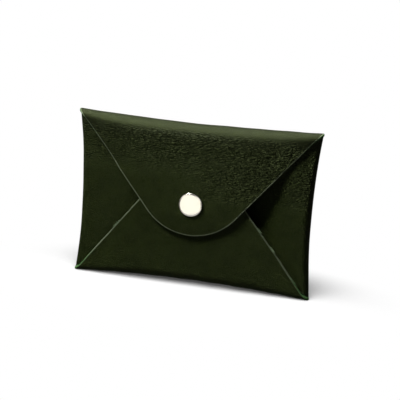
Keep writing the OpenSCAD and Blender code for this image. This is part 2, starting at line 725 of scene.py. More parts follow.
@dataclass(frozen=True)
class EdgeFinish:
    """A raw cut edge: pale fibres, green where the dye has run in at the corners."""

    name: str = "raw_cut_edge"
    pale: Triple = (0.20, 0.235, 0.15)
    dark: Triple = (0.075, 0.10, 0.05)
    green: Triple = (0.070, 0.185, 0.045)

    def build(self) -> bpy.types.Material:
        """Makes the material.

        Returns:
            The material.
        """
        s = Shader(self.name)
        place = s.object_mm()
        x, _, _ = s.parts(place)
        fibre = s.noise(place, 5.0, 3.0, 0.6)
        body = s.mix(s.ramp(fibre, 0.35, 0.65), self.dark, self.pale)
        corner = s.ramp(s.math("ABSOLUTE", x), 41.0, 47.5)
        body = s.mix(corner, body, self.green)
        s.bump(fibre, 0.00008)
        s.set(Base_Color=body, Roughness=0.85)
        return s.material


@dataclass(frozen=True)
class FleshFinish:
    """The suede-like inner face."""

    name: str = "suede_flesh_side"
    light: Triple = (0.085, 0.095, 0.055)
    dark: Triple = (0.045, 0.055, 0.028)

    def build(self) -> bpy.types.Material:
        """Makes the material.

        Returns:
            The material.
        """
        s = Shader(self.name)
        place = s.object_mm()
        nap = s.noise(place, 4.0, 5.0, 0.7)
        cloud = s.noise(place, 0.25, 3.0)
        body = s.mix(s.ramp(cloud, 0.3, 0.7), self.dark, self.light)
        body = s.mix(s.times(nap, 0.4), body, self.light)
        s.bump(nap, 0.00012)
        s.set(Base_Color=body, Roughness=0.93, Sheen_Weight=0.25, Sheen_Roughness=0.5)
        return s.material


@dataclass(frozen=True)
class NickelFinish:
    """Bright nickel plate with faint polishing marks."""

    name: str = "bright_nickel"
    colour: Triple = (0.83, 0.80, 0.73)
    haze: Triple = (0.70, 0.66, 0.58)
    roughness: float = 0.20

    def build(self) -> bpy.types.Material:
        """Makes the material.

        Returns:
            The material.
        """
        s = Shader(self.name)
        place = s.object_mm()
        haze = s.noise(place, 0.8, 4.0, 0.6)
        marks = s.noise(s.object_mm((1.0, 1.0, 7.0)), 1.6, 3.0)
        tone = s.mix(s.times(haze, 0.25), self.colour, self.haze)
        s.bump(marks, 0.000004)
        rough = s.math("MULTIPLY_ADD", haze, 0.14, self.roughness - 0.07)
        s.set(Base_Color=tone, Metallic=1.0, Roughness=rough)
        return s.material


@dataclass
class Leather:
    """The three finishes of the blank."""

    slots: list[bpy.types.Material] = field(default_factory=list)

    def build(self) -> None:
        """Makes the finishes, in the order of Face."""
        finishes = (GrainFinish(), EdgeFinish(), FleshFinish())
        self.slots = [finish.build() for finish in finishes]

    def dress(self, obj: Obj) -> None:
        """Gives a sheet its finishes.

        Args:
            obj: The sheet.
        """
        for material in self.slots:
            obj.data.materials.append(material)


@dataclass
class Pillow:
    """The stuffed shape of the whole holder, and the depths of its layers.

    Names ending in run are distances over which a change is made, curl is how far
    a leaf's edges stand back at curl_x, and pinch is how widely the snap holds it.
    """

    half_width: float
    half_height: float
    middle_z: float
    back_y: float
    thickness: float
    snap_z: float
    top_y: float
    bottom_y: float
    left_y: float
    right_y: float
    top: FoldEdge = FoldEdge(35.4, 1.5, 1.5, 5.8, 2.45, 6.8, 3.7)
    bottom: FoldEdge = FoldEdge(35.4, 2.3, 2.0, 5.0, 2.35, 6.8, 3.7)
    side: FoldEdge = FoldEdge(51.1, 2.2, 2.2, 3.8, 1.75, 6.5, 3.7)
    flat_share: float = 0.3
    lap: float = 1.1
    valley_x: float = 21.0
    valley_dip: float = 1.5
    valley_run: float = 15.0
    cross_x: float = 8.0
    gap: float = 0.12
    blend: float = 0.25
    settle: float = 5.0
    curl_x: float = 30.0
    bottom_belly: float = -3.9
    bottom_curl: float = 1.6
    bottom_run: float = 18.0
    bottom_pinch: float = 9.0
    top_curl: float = 2.5
    top_run: float = 24.0
    top_pinch: float = 5.5
    tip_lift: float = 0.45
    tip_run: float = 10.0
    ring_depth: float = 0.22
    ring_r: float = 8.5
    ring_width: float = 2.6
    overlap_z: float = 51.0
    free_r: Pair = (5.0, 4.0)

    def share(self, s: Array) -> Array:
        """How strongly an edge pulls on the back: 0 in the flat middle, 1 at the fold."""
        return smooth((np.abs(s) - self.flat_share) / (1.0 - self.flat_share))

    def back(self, x: Array, z: Array) -> Array:
        """Depth of the back face.

        The four edges' depths are blended: the edges at the sides and the edges
        at the top and bottom are added, and what both give at a corner is taken
        away once.

        Args:
            x: Distances to the wearer's right.
            z: Heights.

        Returns:
            The depth at each point.
        """
        sx, sz = x / self.half_width, (z - self.middle_z) / self.half_height
        up = (z - self.middle_z) / self.top.centre(sx)
        down = (z - self.middle_z) / self.bottom.centre(sx)
        rise = np.clip(np.where(z > self.middle_z, up, down), -1.0, 1.0)
        out = np.clip(x / self.side.centre(np.clip(sz, -1.0, 1.0)), -1.0, 1.0)
        end = np.where(z > self.middle_z, self.top.back(sx), self.bottom.back(sx))
        from_side = self.back_y - self.side.back(np.clip(sz, -1.0, 1.0))
        corner = self.back_y - self.top.back_end
        h, v = self.share(out), self.share(rise)
        drop = h * from_side + v * (self.back_y - end) - h * v * corner
        return self.back_y - drop

    def side_limit(self, z: Array) -> Array:
        """Half the width of the back panel's own sheet at a height."""
        return self.side.centre((z - self.middle_z) / self.half_height) - self.lap

    def side_front(self, x: Array, z: Array, side: Side) -> Array:
        """Depth of a side flap's front face.

        From its fold it dips towards the valley beside the snap, and comes up to
        its place in the stack at the snap.

        Args:
            x: Distances to the wearer's right.
            z: Heights.
            side: Which side flap.

        Returns:
            The depth at each point.
        """
        snap_y = self.left_y if side is Side.LEFT else self.right_y
        sz = np.clip((z - self.middle_z) / self.half_height, -1.0, 1.0)
        d = np.abs(x)
        valley_y = self.right_y + self.valley_dip
        fold_x = self.side.centre(sz)
        start = self.side.front(sz)
        dip = smooth((fold_x - d) / (fold_x - self.valley_x))
        depth = between(start, valley_y, dip)
        return depth + (snap_y - valley_y) * smooth((self.valley_x - d) / self.valley_run)

    def over_sides(self, x: Array, z: Array) -> Array:
        """Depth of whichever side flap is in front.

        Args:
            x: Distances to the wearer's right.
            z: Heights.

        Returns:
            The depth at each point.
        """
        left = self.side_front(x, z, Side.LEFT)
        right = self.side_front(x, z, Side.RIGHT)
        return np.where(x < self.cross_x, np.minimum(left, right), right)

    def held_off(self, depth: Array, below: Array) -> Array:
        """A depth kept one thickness and a gap in front of the layer below."""
        return soft_min(depth, below - self.thickness - self.gap, self.blend)

    def bottom_front(self, x: Array, z: Array, run: Array, start: Array) -> Array:
        """Depth of the bottom flap's front face.

        It bellies out above its fold, is pinched in by the snap, and stays one
        thickness in front of the side flaps.

        Args:
            x: Distances to the wearer's right.
            z: Heights.
            run: Distances from the flap's fold.
            start: Depths where the fold ends.

        Returns:
            The depth at each point.
        """
        belly = self.bottom_belly + self.bottom_curl * (x / self.curl_x) ** 2
        depth = between(start, belly, smooth(run / self.bottom_run))
        r = np.hypot(x, z - self.snap_z)
        depth = between(depth, self.bottom_y, bell(r, self.bottom_pinch))
        held = self.held_off(depth, self.over_sides(x, z))
        away = np.maximum(bell(r, self.free_r[0]), 1.0 - smooth(run / self.settle))
        return between(held, depth, away)

    def top_front(self, x: Array, z: Array, run: Array, start: Array) -> Array:
        """Depth of the top flap's front face.

        It falls from its fold to the snap, curls back towards its edges, swells
        in a faint ring round the cap, and stays in front of the bottom flap.

        Args:
            x: Distances to the wearer's right.
            z: Heights.
            run: Distances from the flap's fold.
            start: Depths where the fold ends.

        Returns:
            The depth at each point.
        """
        r = np.hypot(x, z - self.snap_z)
        belly = self.top_y + self.top_curl * (x / self.curl_x) ** 2
        tip = smooth((self.snap_z - self.settle - z) / self.tip_run)
        ring = self.ring_depth * bell(r - self.ring_r, self.ring_width)
        belly = belly + self.tip_lift * tip - ring
        depth = between(start, belly, smooth(run / self.top_run))
        depth = between(depth, self.top_y, bell(r, self.top_pinch))
        below = np.maximum(z - self.middle_z + self.bottom.centre(x / self.half_width), 0.0)
        begin = self.bottom.front(x / self.half_width)
        under = self.bottom_front(x, z, below, begin)
        reach = smooth((self.overlap_z - z) / 4.0)
        held = self.held_off(depth, under)
        depth = between(depth, held, reach * (1.0 - bell(r, self.free_r[1])))
        sides = self.held_off(depth, self.over_sides(x, z))
        return between(depth, sides, smooth(run / self.settle))


@dataclass
class Flap:
    """A flap of the blank: a strip of the back, its fold, and the leaf in front."""

    pillow: Pillow
    side: Side
    tongue: Tongue
    seed: int
    lap: float
    back_steps: int = 10
    arc_steps: int = 56
    leaf_steps: int = 170
    columns: int = 141
    bulge: float = 0.32
    edge_show: float = 0.35
    edge_width: float = 0.45
    crowd: float = 0.45
    calm_r: float = 7.0
    ripple_rows: Pair = (6.0, 14.0)

    @property
    def wide(self) -> bool:
        """Whether the fold runs across the holder, at its top or its bottom."""
        return self.side in (Side.TOP, Side.BOTTOM)

    @property
    def sign(self) -> float:
        """1 where the fold is above or to the right of the middle, otherwise -1."""
        return 1.0 if self.side in (Side.TOP, Side.RIGHT) else -1.0

    @property
    def edge(self) -> FoldEdge:
        """The fold that this flap turns over."""
        edges = {Side.TOP: self.pillow.top, Side.BOTTOM: self.pillow.bottom}
        return edges.get(self.side, self.pillow.side)

    @property
    def half(self) -> float:
        """Half the length of the fold's side of the holder."""
        return self.pillow.half_width if self.wide else self.pillow.half_height

    def place(self, along: Array, out: Array, depth: Array) -> Array:
        """Points from distances along the fold and out from the middle, and depths.

        Args:
            along: Distances along the fold from its middle.
            out: Distances from the holder's middle.
            depth: Depths.

        Returns:
            Points, with x, y and z on the last axis.
        """
        z, out = self.pillow.middle_z, self.sign * out
        xyz = (along, depth, z + out) if self.wide else (out, depth, z + along)
        return np.stack(np.broadcast_arrays(*xyz), axis=-1)

    def front(self, x: Array, z: Array, run: Array, start: Array) -> Array:
        """Depth of the leaf's front face.

        Args:
            x: Distances to the wearer's right.
            z: Heights.
            run: Distances from the flap's fold.
            start: Depths where the fold ends.

        Returns:
            The depth at each point.
        """
        if self.side is Side.TOP:
            return self.pillow.top_front(x, z, run, start)
        if self.side is Side.BOTTOM:
            return self.pillow.bottom_front(x, z, run, start)
        return self.pillow.side_front(x, z, self.side)

    def back_width(self, out: Array) -> Array:
        """Half width of the strip on the back, which stops short of the next fold.

        Args:
            out: Distances from the holder's middle.

        Returns:
            The half width at each distance.
        """
        if self.wide:
            limit = self.pillow.side_limit(self.pillow.middle_z + self.sign * out)
            return limit - self.pillow.gap
        return np.full_like(out, self.tongue.base)

    def surface(self) -> tuple[Array, Array]:
        """The outer face as one point grid, from the back strip to the tip.

        Columns are equal shares s of the half width w. Rows go over the back
        strip, then round the fold (out = centre + r sin a, depth = back - r +
        r cos a), then down the leaf, with rows closing up towards the tip.

        Returns:
            The points, and the inset of each from the outline, in millimetres.
        """
        share = np.linspace(-1.0, 1.0, self.columns)
        column = ((1.0 + self.crowd) * share - self.crowd * share**3)[None, :]
        end = self.tongue.base / self.half
        s = column * end
        edge = self.edge
        radius, back, centre = edge.radius(s), edge.back(s), edge.centre(s)
        corner_r, corner_c = edge.radius(end), edge.centre(end)

        q = np.linspace(1.0, 0.0, self.back_steps, endpoint=False)[:, None]
        back_out = centre - q * self.lap
        width = self.back_width(corner_c - q * self.lap)
        flat = self.place(column * width, back_out, 0.0)
        flat[..., 1] = self.pillow.back(flat[..., 0], flat[..., 2])
        first_width = float(self.back_width(np.array(corner_c)))

        a = np.linspace(0.0, math.pi, self.arc_steps, endpoint=False)[:, None]
        crest_width = self.tongue.base + corner_r
        foot = np.where(a < math.pi / 2.0, first_width, self.tongue.base)
        across = column * between(foot, crest_width, np.sin(a))
        depth = back - radius + radius * np.cos(a)
        arc = self.place(across, centre + radius * np.sin(a), depth)

        g = np.linspace(0.0, 1.0, self.leaf_steps)[:, None]
        g = 1.0 - (1.0 - g) ** 2
        tip_out = corner_c - self.tongue.length
        leaf_out = between(centre, tip_out, g)
        run = self.tongue.length * g
        across = column * self.tongue.half_width(run)
        leaf = self.place(across, leaf_out, 0.0)
        start = np.broadcast_to(edge.front(s), leaf_out.shape)
        leaf[..., 1] = self.front(leaf[..., 0], leaf[..., 2], centre - leaf_out, start)

        points = np.concatenate([flat, arc, leaf])
        rows = np.arange(len(points), dtype=float)[:, None]
        before = (1.0 - np.abs(column)) * self.tongue.base
        before = np.repeat(before, self.back_steps + self.arc_steps, axis=0)
        inset = np.concatenate([before, self.tongue.inset(across, run)])
        normal = self.outward(grid_normals(points), points)
        x, z = points[..., 0], points[..., 2]
        slow = Ripple(self.seed).at(x, z)
        calm = 1.0 - bell(np.hypot(x, z - self.pillow.snap_z), self.calm_r)
        delay, over = self.ripple_rows
        settle = smooth((rows - self.back_steps - delay) / over)
        points = points + normal * (slow * calm * settle)[..., None]
        return points, inset

    def outward(self, normal: Array, points: Array) -> Array:
        """Normals turned so that they point out of the holder.

        Args:
            normal: Normals of a point grid.
            points: The grid.

        Returns:
            The same normals, or all of them turned round.
        """
        row = self.back_steps + self.arc_steps // 2
        column = self.columns // 2
        middle = np.array([0.0, points[row, column, 1], self.pillow.middle_z])
        out = points[row, column] - middle
        return normal if float(normal[row, column] @ out) > 0.0 else -normal

    def layers(self) -> dict[str, Array]:
        """Outer and inner faces, the cut edges' bulge direction and the edge wear.

        Returns:
            The fields of SheetShape that a flap's faces give.
        """
        outer, inset = self.surface()
        normal = self.outward(grid_normals(outer), outer)
        inner = outer - normal * self.pillow.thickness
        run = np.gradient(outer[:, (0, -1)], axis=0)
        mid = unit(np.cross(unit(run), normal[:, (0, -1)]))
        middle = outer[:, outer.shape[1] // 2][:, None]
        away = ((outer[:, (0, -1)] - middle) * mid).sum(axis=-1, keepdims=True)
        mid = mid * np.where(away < 0.0, -1.0, 1.0)
        mid[-1] = unit(mid[-2].mean(axis=0, keepdims=True))
        wear = self.edge_show * (1.0 - smooth(inset / self.edge_width))
        return {"outer": outer, "inner": inner, "mid": mid, "wear": wear}

    def whole(self, name: str) -> Obj:
        """The flap as one piece, for a flap that doesn't open.

        Args:
            name: Name of the piece.

        Returns:
            The new object.
        """
        found = self.layers()
        shape = SheetShape(**found, bulge=self.bulge, open_end=False)
        return sheet_mesh(name, shape)


@dataclass
class Fray:
    """Loose fibres, in tufts along a flap's cut edges."""

    flap: Flap
    tufts: tuple[tuple[int, float], ...] = ((-1, 27.5), (-1, 20.5), (-1, 7.5), (0, 23.0))
    count: int = 22
    spread: float = 0.9
    shortest: float = 0.5
    longest: float = 1.2
    radius: float = 0.11
    depth: float = 0.2
    lean: float = 0.4
    stray: float = 0.45
    stand: float = 0.2
    seed: int = 23

    def roots(self, rng: np.random.Generator) -> tuple[Array, Array]:
        """Where each fibre leaves the cut edge, and its direction.

        Args:
            rng: Where the random numbers come from.

        Returns:
            Points on the cut edge, and directions of length 1.
        """
        found = self.flap.layers()
        roots, ways = [], []
        for column, height in self.tufts:
            outer, inner = found["outer"][:, column], found["inner"][:, column]
            edge = between(outer, inner, self.depth)
            out = found["mid"][:, column] - np.array([0.0, self.lean, 0.0])
            heights = height + rng.normal(0.0, self.spread, self.count)
            row = np.argmin(np.abs(edge[:, 2][:, None] - heights), axis=0)
            roots.append(edge[row] + self.stand * out[row])
            ways.append(unit(out[row] + rng.normal(0.0, self.stray, (self.count, 3))))
        return np.concatenate(roots), np.concatenate(ways)

    def build(self, material: bpy.types.Material) -> None:
        """Makes every fibre as a slim closed spike: three corners round its root, a tip.

        Corner k = root + radius (cos(120 k) a + sin(120 k) b), where a and b are
        square to the fibre's direction; tip = root + length times direction.

        Args:
            material: The looks of the fibres.
        """
        rng = np.random.default_rng(self.seed)
        root, way = self.roots(rng)
        length = rng.uniform(self.shortest, self.longest, (len(root), 1))
        a = unit(np.cross(way, np.array([0.0, 1.0, 0.0])))
        b = np.cross(way, a)
        turn = np.radians(np.array([0.0, 120.0, 240.0]))[None, :, None]
        ring = root[:, None] + self.radius * (
            np.cos(turn) * a[:, None] + np.sin(turn) * b[:, None]
        )
        points = np.concatenate([ring, (root + length * way)[:, None]], axis=1)
        spike = np.array([(0, 2, 1), (0, 1, 3), (1, 2, 3), (2, 0, 3)])
        faces = (np.arange(len(root))[:, None, None] * 4 + spike).reshape(-1, 3)
        name = "frayed_fibres"
        obj = finish_mesh(name, new_mesh(name, points, faces.tolist()))
        obj.data.materials.append(material)
        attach(obj, "pouch")


@dataclass
class TopFlap(Flap):
    """The flap that opens: four pieces of fold, and a leaf hung on the flap's body.

    Every cut between pieces lies in a plane through one line, the pivot line, at an angle
    round it.
    """

    pivot_y: float = 1.3
    pivot_z: float = 64.9
    pivot_r: float = 1.6
    cuts: tuple[float, ...] = (-27.0, 32.0, 90.0, 148.0, 199.0)
    chain: tuple[str, ...] = ("pouch", "fold_rear", "fold_crown", "fold_front", "flap")
    piece_rows: int = 22

    def angles(self, points: Array) -> Array:
        """Angle of each point round the pivot line, in degrees, growing over the fold.

        Args:
            points: The points.

        Returns:
            The angles, from -90 to 270.
        """
        angle = np.degrees(
            np.arctan2(points[..., 2] - self.pivot_z, points[..., 1] - self.pivot_y)
        )
        return np.where(angle < -90.0, angle + 360.0, angle)

    def cut_rows(self, points: Array, angle: float) -> Array:
        """Fractional row of each column at which the sheet crosses an angle.

        Args:
            points: One face of the flap.
            angle: The angle, in degrees.

        Returns:
            A row number for each column.
        """
        around = self.angles(points)
        after = np.argmax(around >= angle, axis=0)
        column = np.arange(points.shape[1])
        low, high = around[after - 1, column], around[after, column]
        return after - 1 + (angle - low) / (high - low)

    def seam_point(self, angle: float) -> Triple:
        """The point of a cut that lies on the pivot circle, in metres.

        Args:
            angle: The angle of the cut, in degrees.

        Returns:
            The point.
        """
        turn = math.radians(angle)
        y = self.pivot_y + self.pivot_r * math.cos(turn)
        z = self.pivot_z + self.pivot_r * math.sin(turn)
        return (0.0, y * MM, z * MM)

    def seams(self, found: dict[str, Array]) -> list[Rows]:
        """Rows of every cut, on the outer and on the inner face.

        Args:
            found: The flap's layers.

        Returns:
            A pair of rows for each cut.
        """
        return [
            (self.cut_rows(found["outer"], a), self.cut_rows(found["inner"], a))
            for a in self.cuts
        ]

    def part(
        self, found: dict[str, Array], first: Rows, last: Rows, rows: int
    ) -> SheetShape:
        """The sheet between two cuts, sampled at evenly spaced rows.

        Args:
            found: The flap's layers.
            first: Rows of the cut that it starts at.
            last: Rows of the cut that it ends at.
            rows: How many rows it has.

        Returns:
            The sheet.
        """
        share = np.linspace(0.0, 1.0, rows)[:, None]
        out_rows, in_rows = (between(first[k], last[k], share) for k in (0, 1))
        edge_rows = out_rows[:, (0, -1)]
        end = len(found["outer"]) - 1
        return SheetShape(
            outer=sample_rows(found["outer"], out_rows),
            inner=sample_rows(found["inner"], in_rows),
            mid=unit(sample_rows(found["mid"], edge_rows)),
            wear=sample_rows(found["wear"], out_rows),
            bulge=self.bulge,
            open_end=bool(np.max(last[0]) < end - 0.5),
        )

    def seam_line(self) -> Rows:
        """The first cut, on the outer and on the inner face, for the back panel.

        Returns:
            The cut's points on each face.
        """
        found = self.layers()
        outer_rows, inner_rows = self.seams(found)[0]
        outer = sample_rows(found["outer"], outer_rows[None, :])[0]
        inner = sample_rows(found["inner"], inner_rows[None, :])[0]
        return outer, inner

    def build(self, leather: Leather) -> None:
        """Makes the fold pieces and the leaf, and hangs the leaf on the flap's body.

        Args:
            leather: The finishes.
        """
        found = self.layers()
        cuts = self.seams(found)
        made = []
        names = ("top_fold_back", "top_fold_rise", "top_fold_brow", "top_fold_lip")
        for k, name in enumerate(names):
            shape = self.part(found, cuts[k], cuts[k + 1], self.piece_rows)
            obj = sheet_mesh(f"{name}_leather", shape)
            start, end = self.seam_point(self.cuts[k]), self.seam_point(self.cuts[k + 1])
            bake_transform(obj)
            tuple(start)
            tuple(end)
            made.append(obj)
        last = len(found["outer"]) - 1.0
        tip = np.full(self.columns, last)
        shape = self.part(found, cuts[-1], (tip, tip), self.leaf_steps)
        leaf = sheet_mesh("top_flap_leather", shape)
        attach(leaf, "flap")
        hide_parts("top_fold_rear")
        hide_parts("top_fold_crown")
        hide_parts("top_fold_front")
        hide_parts("top_flap")
        made.append(leaf)
        for obj in made:
            leather.dress(obj)


@dataclass
class BackPanel:
    """The back of the pouch, between the four folds."""

    pillow: Pillow
    seam: Rows
    columns: int = 121
    rows: int = 90
    rounds: int = 4

    def grid(self, seam: Array, shrink: float) -> Array:
        """One face: a grid stretched between the side folds, bottom fold and top cut.

        Heights depend on x and widths on z, so both are worked out in a few rounds.

        Args:
            seam: The top cut's points on this face.
            shrink: Distance from the outer face to this one.

        Returns:
            Points, rows by columns by 3.
        """
        p = self.pillow
        u = np.linspace(-1.0, 1.0, self.columns)[None, :]
        v = np.linspace(0.0, 1.0, self.rows)[:, None]
        order = np.argsort(seam[:, 0])
        x = u * p.side_limit(np.full_like(v, p.middle_z))
        for _ in range(self.rounds):
            low = p.middle_z - p.bottom.centre(x / p.half_width) + p.lap
            high = np.interp(x, seam[order, 0], seam[order, 2])
            z = between(low, high, v)
            x = u * p.side_limit(z)
        y = p.back(x, z)
        points = np.stack([x, y, z], axis=-1)
        if shrink:
            normal = grid_normals(points)
            normal = normal * np.where(normal[..., 1:2] < 0.0, -1.0, 1.0)
            points = points - normal * shrink
            points[-1, :, 2] = z[-1]
        return points

    def build(self, leather: Leather) -> None:
        """Makes the panel and hangs it on the pouch.

        Args:
            leather: The finishes.
        """
        outer = self.grid(self.seam[0], 0.0)
        inner = self.grid(self.seam[1], self.pillow.thickness)
        mid = np.zeros((self.rows, 2, 3))
        mid[:, 0, 0], mid[:, 1, 0] = -1.0, 1.0
        wear = np.zeros(outer.shape[:2])
        shape = SheetShape(outer, inner, mid, wear, bulge=0.0)
        obj = sheet_mesh("back_panel_leather", shape, steps=2)
        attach(obj, "pouch")
        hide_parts("back_panel")
        leather.dress(obj)


@dataclass
class Snap:
    """The press snap: a domed cap and socket on the flap, a stud on the pouch."""

    snap_z: float
    segments: int = 96
    wire_steps: int = 90
    wire_sides: int = 12
    wire_turn: Pair = (32.0, 328.0)
    wire_power: int = 40
    crisp: float = 38.0

    def turned(self, name: str, profile: Profile) -> Obj:
        """A piece turned on the snap's axis.

        A point at radius r and depth y stands at (r cos a, y, z0 + r sin a), for
        even angles a all the way round.

        Args:
            name: Name of the piece.
            profile: Radius and depth of the profile's points, a closed line.

        Returns:
            The new object.
        """
        line = np.array(profile, float)
        a = np.linspace(0.0, 2.0 * math.pi, self.segments, endpoint=False)[:, None]
        x = line[:, 0] * np.cos(a)
        z = self.snap_z + line[:, 0] * np.sin(a)
        y = np.broadcast_to(line[:, 1], x.shape)
        points = np.stack([x, y, z], axis=-1)
        count = len(line)
        numbers = np.arange(self.segments * count).reshape(self.segments, count)
        quads = loop_quads(np.concatenate([numbers, numbers[:1]]))
        return finish_mesh(name, new_mesh(name, points, quads.tolist()), self.crisp)

    @staticmethod
    def size(node: str) -> Triple:
        """A turned node's outer radius, and the depths of its front and rear."""
        low, high = box_mm(node)
        return (high[0] - low[0]) / 2.0, low[1], high[1]

    @staticmethod
    def arc(centre: Pair, r: float, start: float, end: float, steps: int) -> Profile:
        """Profile points on an arc, between two angles in degrees.

        Args:
            centre: Radius and depth of its centre.
            r: Its radius.
            start: First angle.
            end: Last angle.
            steps: How many points.

        Returns:
            The points.
        """
        a = np.radians(np.linspace(start, end, steps))
        points = np.stack([centre[0] + r * np.cos(a), centre[1] + r * np.sin(a)], axis=-1)
        return [tuple(p) for p in points.tolist()]

    def cap_profile(self) -> Profile:
        """Cap: a shallow dome, a rolled rim, a hollow underside and its post.

        Returns:
            Radius and depth of each point.
        """
        rim, crown, foot = self.size("snap_cap")
        face = crown + 1.6
        roll = 0.42
        knee_r, knee_y = rim - 0.62, face - 0.98
        rise = knee_y - crown
        sphere = (knee_r**2 + rise**2) / (2.0 * rise)
        t = np.linspace(0.0, 1.0, 22)
        r = knee_r * t
        y = crown + sphere - np.sqrt(sphere**2 - r**2)
        dome = list(zip(r.tolist(), y.tolist()))
        shoulder = self.arc((rim - roll, face - roll), roll, -82.0, 78.0, 12)
        post = 1.3
        return [
            *dome,
            *shoulder,
            (rim - 0.75, face - 0.02),
            (rim - 0.95, face - 0.30),
            (post + 0.25, face - 0.32),
            (post, face - 0.12),
            (post, foot - 0.18),
            (post + 0.5, foot - 0.10),
            (post + 0.55, foot),
            (0.45, foot),
            (0.30, foot - 0.25),
            (0.0, foot - 0.32),
        ]

    def socket_profile(self) -> Profile:
        """Socket: a rolled cup with a mouth and a groove for the spring.

        Returns:
            Radius and depth of each point.
        """
        rim, front, rear = self.size("snap_socket")
        bead = 0.34
        lip = self.arc((rim - bead, rear - bead), bead, 88.0, 0.0, 8)
        crown = self.arc((rim - 0.9, front + 0.62), 0.6, -20.0, -88.0, 6)
        return [
            (2.32, rear),
            (2.95, rear - 0.04),
            (3.25, rear - 0.26),
            *lip,
            *crown[:1],
            (rim - 0.45, front + 0.02),
            (1.32, front),
            (1.32, front + 0.46),
            (2.30, front + 0.50),
            (2.32, rear - 0.66),
            (2.52, rear - 0.60),
            (2.52, rear - 0.20),
            (2.30, rear - 0.14),
        ]

    def stud_profile(self) -> Profile:
        """Stud: a dished flange, a waisted neck and a round bulb.

        Returns:
            Radius and depth of each point.
        """
        rim, front, rear = self.size("snap_stud")
        edge = self.arc((rim - 0.17, rear - 0.17), 0.16, 80.0, -80.0, 7)
        bulb = self.arc((1.55, front + 0.42), 0.42, 60.0, -88.0, 9)
        return [
            (1.31, rear),
            *edge,
            (2.6, rear - 0.30),
            (1.95, rear - 0.42),
            (1.70, rear - 0.62),
            *bulb,
            (1.1, front),
            (0.85, front + 0.12),
            (0.0, front + 0.14),
            (0.0, front + 0.28),
            (1.31, front + 0.30),
        ]

    def post_profile(self) -> Profile:
        """Rivet: a shallow round head behind the layers, and its shank.

        Returns:
            Radius and depth of each point.
        """
        rim, front, rear = self.size("stud_post")
        edge = self.arc((rim - 0.17, rear - 0.17), 0.17, 85.0, -85.0, 8)
        shank = 1.29
        head = [(0.0, rear), (rim - 0.6, rear), *edge, (shank, rear - 0.35)]
        return [*head, (shank, front), (0.0, front)]

    def spring(self) -> Obj:
        """The socket's open spring ring: a round wire carried along an arc.

        The wire's radius is times sqrt(1 - t^wire_power), t from -1 to 1 along it,
        so that its two ends are round.

        Returns:
            The new object.
        """
        low, high = box_mm("socket_spring")
        wire = (high[1] - low[1]) / 2.0
        ring = (high[2] - low[2]) / 2.0 - wire
        y0 = (low[1] + high[1]) / 2.0
        steps, sides = self.wire_steps, self.wire_sides
        turn = np.radians(np.linspace(*self.wire_turn, steps))[:, None]
        around = np.linspace(0.0, 2.0 * math.pi, sides, endpoint=False)[None, :]
        along = np.linspace(-1.0, 1.0, steps)[:, None]
        fade = np.sqrt(np.clip(1.0 - along**self.wire_power, 0.0, 1.0))
        r = ring + wire * fade * np.cos(around)
        x, z = r * np.cos(turn), self.snap_z + r * np.sin(turn)
        y = y0 + wire * fade * np.sin(around)
        points = np.stack([x, y, z], axis=-1)
        quads = loop_quads(np.arange(steps * sides).reshape(steps, sides))
        name = "socket_spring_ring"
        return finish_mesh(name, new_mesh(name, points, quads.tolist()))

    def build(self, finish: NickelFinish) -> list[Obj]:
        """Makes the five pieces and hangs them on the flap and the pouch.

        Args:
            finish: The looks of the metal.

        Returns:
            The five pieces.
        """
        material = finish.build()
        pieces = (
            (self.turned("snap_cap_domed", self.cap_profile()), "flap", "snap_cap"),
            (self.turned("snap_socket_cup", self.socket_profile()), "flap", "snap_socket"),
            (self.spring(), "flap", "socket_spring"),
            (self.turned("snap_stud_bulb", self.stud_profile()), "pouch", "snap_stud"),
            (self.turned("stud_post_rivet", self.post_profile()), "pouch", "stud_post"),
        )
        for obj, body, node in pieces:
            obj.data.materials.append(material)
            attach(obj, body)
            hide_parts(node)
        return [obj for obj, _, _ in pieces]


